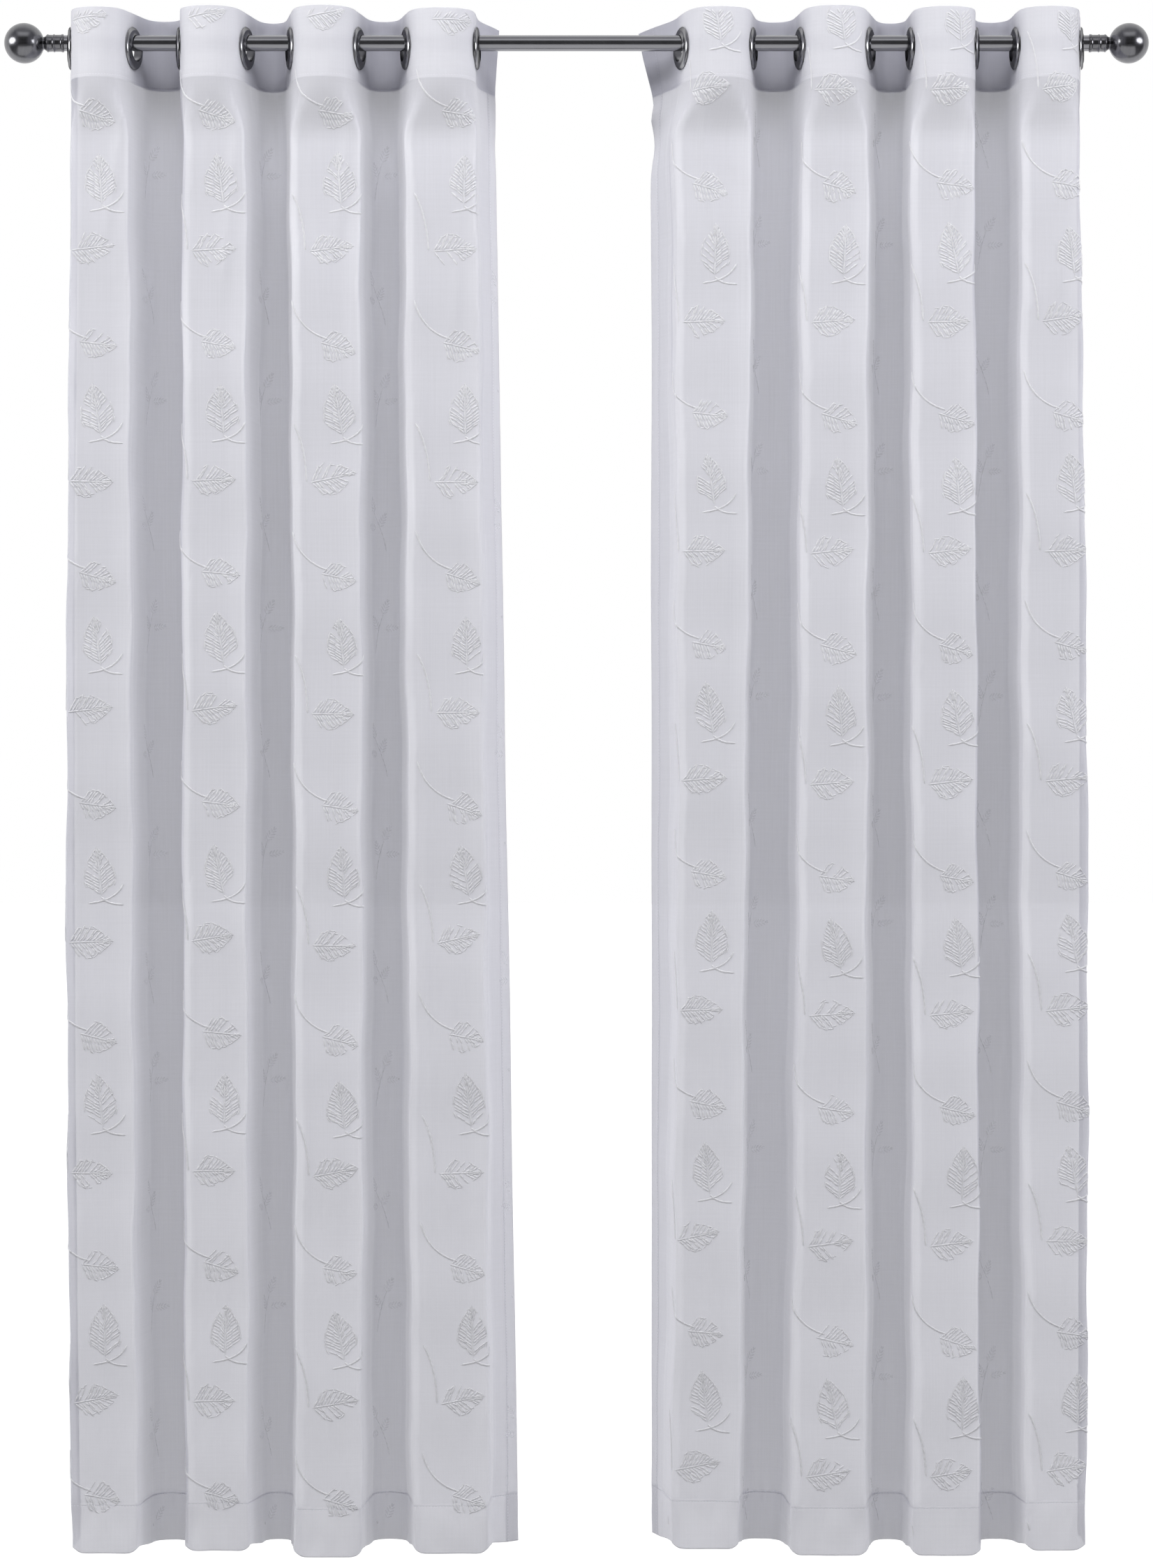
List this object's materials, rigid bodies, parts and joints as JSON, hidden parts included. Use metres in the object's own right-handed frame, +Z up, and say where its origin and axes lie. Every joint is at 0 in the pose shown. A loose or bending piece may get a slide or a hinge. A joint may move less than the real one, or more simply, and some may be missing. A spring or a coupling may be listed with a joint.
{
  "type": "sheer curtains on rod",
  "caption": "Pair of white embroidered sheer voile curtains with metal eyelets, hanging in deep folds on a round rod with ball finials.",
  "frame": {"origin": "middle of the rod's axis", "axes": "+X along the rod to the right as seen from the room, +Y from the room towards the wall, +Z up"},
  "size_m": [1.594, 0.1323, 2.144],
  "materials": {
    "voile": "sheer white voile with white leaf embroidery, doubled at the heading and hem",
    "rod_metal": "polished dark pewter",
    "finial_metal": "polished dark pewter",
    "eyelet_metal": "polished dark pewter"
  },
  "bodies": {
    "root": {"curtain_left": "voile", "curtain_right": "voile", "rod": "rod_metal", "finial_left": "finial_metal", "finial_right": "finial_metal", "eyelet_left_1": "eyelet_metal", "eyelet_left_2": "eyelet_metal", "eyelet_left_3": "eyelet_metal", "eyelet_left_4": "eyelet_metal", "eyelet_left_5": "eyelet_metal", "eyelet_left_6": "eyelet_metal", "eyelet_left_7": "eyelet_metal", "eyelet_left_8": "eyelet_metal", "eyelet_right_1": "eyelet_metal", "eyelet_right_2": "eyelet_metal", "eyelet_right_3": "eyelet_metal", "eyelet_right_4": "eyelet_metal", "eyelet_right_5": "eyelet_metal", "eyelet_right_6": "eyelet_metal", "eyelet_right_7": "eyelet_metal", "eyelet_right_8": "eyelet_metal"}
  },
  "joints": []
}
